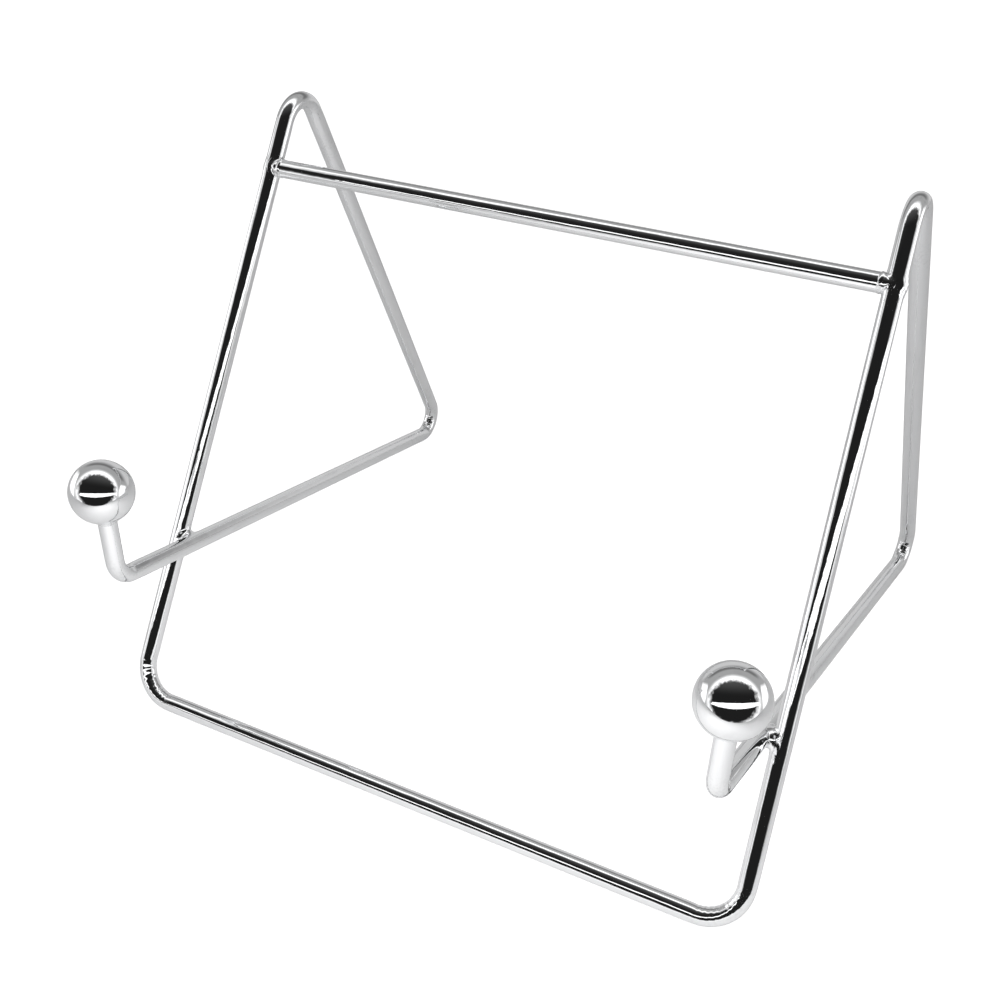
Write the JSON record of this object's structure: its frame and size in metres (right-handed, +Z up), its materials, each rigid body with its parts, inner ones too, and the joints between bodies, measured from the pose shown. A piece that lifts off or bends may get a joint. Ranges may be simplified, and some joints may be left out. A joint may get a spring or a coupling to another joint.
{
  "type": "photo album stand",
  "caption": "Chromed wire easel for a photo album or book: a bent wire frame with a welded cross bar and a polished ball on each front post.",
  "frame": {"origin": "on the table, in the middle of the footprint", "axes": "+Z up, -Y towards the person in front (the balls' side), +X to the right as seen from the front"},
  "size_m": [0.226, 0.2256, 0.1824],
  "materials": {
    "plated_wire": "bright nickel-chrome plate on drawn steel wire, mirror-like with faint draw lines",
    "plated_ball": "bright chrome plate on a polished steel ball",
    "plated_weld": "bright chrome plate over a slightly uneven weld bead"
  },
  "bodies": {
    "root": {"frame_wire": "plated_wire", "cross_bar": "plated_wire", "ball_left": "plated_ball", "ball_right": "plated_ball", "ball_braze_left": "plated_weld", "ball_braze_right": "plated_weld", "cross_bar_weld_left": "plated_weld", "cross_bar_weld_right": "plated_weld", "arm_weld_left": "plated_weld", "arm_weld_right": "plated_weld"}
  },
  "joints": []
}
